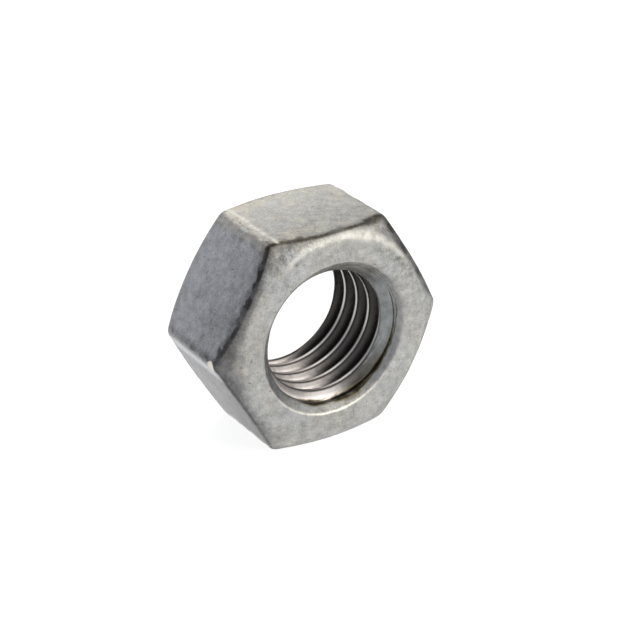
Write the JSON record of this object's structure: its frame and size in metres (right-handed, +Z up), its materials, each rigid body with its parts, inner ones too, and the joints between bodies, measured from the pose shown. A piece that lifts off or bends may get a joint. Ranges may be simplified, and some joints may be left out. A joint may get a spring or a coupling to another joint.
{
  "type": "hex nut",
  "caption": "Galvanised steel hexagon nut with a coarse right-hand thread, chamfered on both faces and countersunk at both ends of the bore.",
  "frame": {"origin": "middle of the nut, on the thread axis, half way between the two bearing faces", "axes": "Y along the thread, -Y out of the face that is turned to the viewer; +Z up, square to the top wrench flat, with the nut standing on the opposite flat; X through two corners of the hexagon"},
  "size_m": [0.0214, 0.01, 0.0188],
  "materials": {
    "galvanised_steel": "hot-dip galvanised: matte, mottled light grey zinc outside, bare oiled steel in the tapped thread"
  },
  "bodies": {
    "root": {"hex_nut": "galvanised_steel"}
  },
  "joints": []
}
